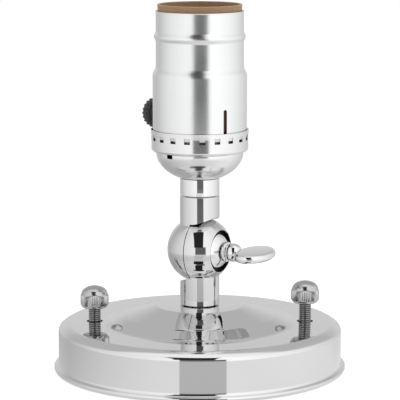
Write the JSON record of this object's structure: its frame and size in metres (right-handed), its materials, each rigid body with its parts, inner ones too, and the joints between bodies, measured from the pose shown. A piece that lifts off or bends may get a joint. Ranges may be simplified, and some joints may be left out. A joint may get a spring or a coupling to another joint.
{
  "type": "wall sconce",
  "caption": "Wall sconce: round chrome canopy with knurled screws, ball swivel clamped by a thumb key, and a metal lamp socket with a turn knob.",
  "frame": {"origin": "centre of the canopy's open back, in the plane of its rim", "axes": "+Z from the wall out through the socket at rest, -Y towards the viewer of the picture, +X to its right"},
  "size_m": [0.1142, 0.1142, 0.1429],
  "materials": {
    "chrome": "polished plating",
    "satin_aluminium": "satin drawn sheet",
    "zinc_steel": "zinc plated",
    "brass": "rolled sheet",
    "nickel": "nickel plated",
    "green_steel": "green lacquer",
    "black_phenolic": "moulded, half matt",
    "tan_fibre": "matt rolled fibre"
  },
  "bodies": {
    "base": {"canopy": "chrome", "crossbar": "zinc_steel", "ground_screw": "green_steel", "canopy_nipple": "zinc_steel", "canopy_lockwasher": "zinc_steel", "canopy_locknut": "zinc_steel", "lower_knuckle": "chrome", "key_spring_washer": "zinc_steel", "key_washer": "chrome"},
    "left_screw": {"thumb_screw_left": "chrome"},
    "right_screw": {"thumb_screw_right": "chrome"},
    "key": {"thumb_key": "chrome"},
    "head": {"upper_knuckle": "chrome", "neck_coupling": "chrome", "upper_nipple": "zinc_steel", "cap_locknut": "zinc_steel", "socket_cap": "satin_aluminium", "socket_shell": "satin_aluminium", "insulating_liner": "tan_fibre", "socket_body": "black_phenolic", "brass_terminal": "brass", "brass_terminal_screw": "brass", "silver_terminal": "nickel", "silver_terminal_screw": "nickel", "screw_shell": "brass", "centre_contact": "brass", "contact_rivet_left": "nickel", "contact_rivet_right": "nickel", "switch_contact": "brass"},
    "switch": {"switch_shaft": "zinc_steel", "turn_knob": "black_phenolic"}
  },
  "joints": [
    {"name": "swivel", "type": "hinge", "parent": "base", "child": "head", "pos_m": [0, 0, 0.0473], "axis": [0.866, -0.5, 0], "range_deg": [-90, 90]},
    {"name": "key_turn", "type": "hinge", "parent": "base", "child": "key", "pos_m": [0, 0, 0.0473], "axis": [0.866, -0.5, 0], "range_deg": [0, 180]},
    {"name": "left_screw_travel", "type": "slide", "parent": "base", "child": "left_screw", "axis": [0, 0, -1], "range_m": [-0.0036, 0.0036]},
    {"name": "right_screw_travel", "type": "slide", "parent": "base", "child": "right_screw", "axis": [0, 0, -1], "range_m": [-0.0016, 0.0056]},
    {"name": "knob_turn", "type": "hinge", "parent": "head", "child": "switch", "pos_m": [0, 0, 0.09782], "axis": [-0.5299, 0.848, 0], "continuous": true}
  ]
}
